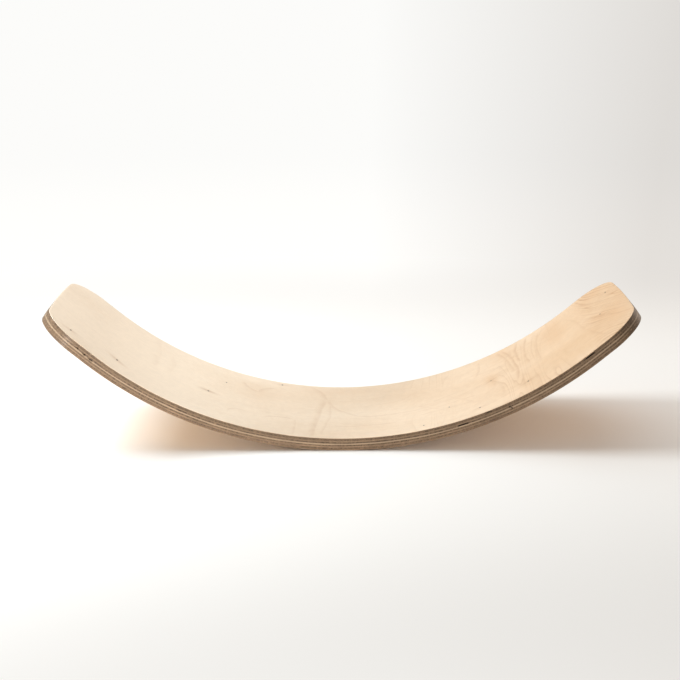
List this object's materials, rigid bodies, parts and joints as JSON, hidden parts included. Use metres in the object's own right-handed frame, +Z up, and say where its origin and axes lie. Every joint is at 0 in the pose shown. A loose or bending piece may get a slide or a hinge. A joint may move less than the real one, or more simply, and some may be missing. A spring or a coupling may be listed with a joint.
{
  "type": "curved balance board",
  "caption": "Curved wooden balance board of bent laminated veneers that rocks end to end on the floor while a person stands, sits or lies on it.",
  "frame": {"origin": "point on the floor under the middle of the board, where the curved underside touches it at rest", "axes": "+X along the board, +Y across its width, +Z up, towards the side that is stood on"},
  "size_m": [0.866, 0.3, 0.1989],
  "materials": {
    "birch_face_top": "pale birch face veneer under a satin clear lacquer",
    "birch_face_bottom": "pale birch face veneer under a satin clear lacquer",
    "birch_long_ply": "sanded and lacquered birch edge, grain along the board",
    "birch_crossband": "sanded and lacquered birch edge, end grain along the sides"
  },
  "bodies": {
    "root": {"face_veneer_top": "birch_face_top", "crossband_1_left": "birch_crossband", "crossband_1_right": "birch_crossband", "long_ply_upper": "birch_long_ply", "crossband_2_left": "birch_crossband", "crossband_2_right": "birch_crossband", "centre_ply_left": "birch_long_ply", "centre_ply_right": "birch_long_ply", "crossband_3": "birch_crossband", "long_ply_lower": "birch_long_ply", "crossband_4": "birch_crossband", "face_veneer_bottom": "birch_face_bottom"}
  },
  "joints": []
}
